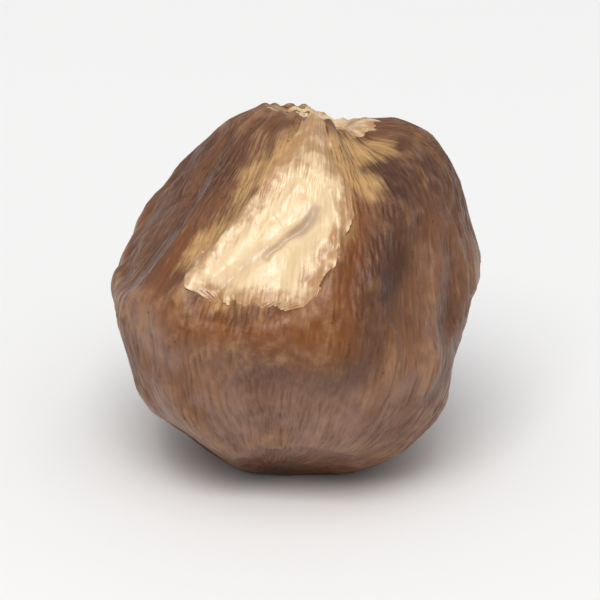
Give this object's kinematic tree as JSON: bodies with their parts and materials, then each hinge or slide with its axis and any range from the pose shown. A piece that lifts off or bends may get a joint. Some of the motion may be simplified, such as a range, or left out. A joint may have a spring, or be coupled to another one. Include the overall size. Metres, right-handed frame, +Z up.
{
  "type": "korarima seed",
  "caption": "Dried korarima (Ethiopian cardamom) seed: a small blunt-cornered brown grain with pressed flats, a cleft over its crown and a pale scar.",
  "frame": {"origin": "on the surface the seed rests on, under the middle of its box", "axes": "+Z up from the rest spot to the crown, -Y towards the front with the bright flat, +X to the right of that front"},
  "size_m": [0.0038, 0.004, 0.0037],
  "materials": {
    "coat": "hard dried seed coat, brown to tan-gold, finely lined, satin",
    "aril": "thin dried skin, pale cream, papery"
  },
  "bodies": {
    "root": {"seed": "coat"}
  },
  "joints": []
}
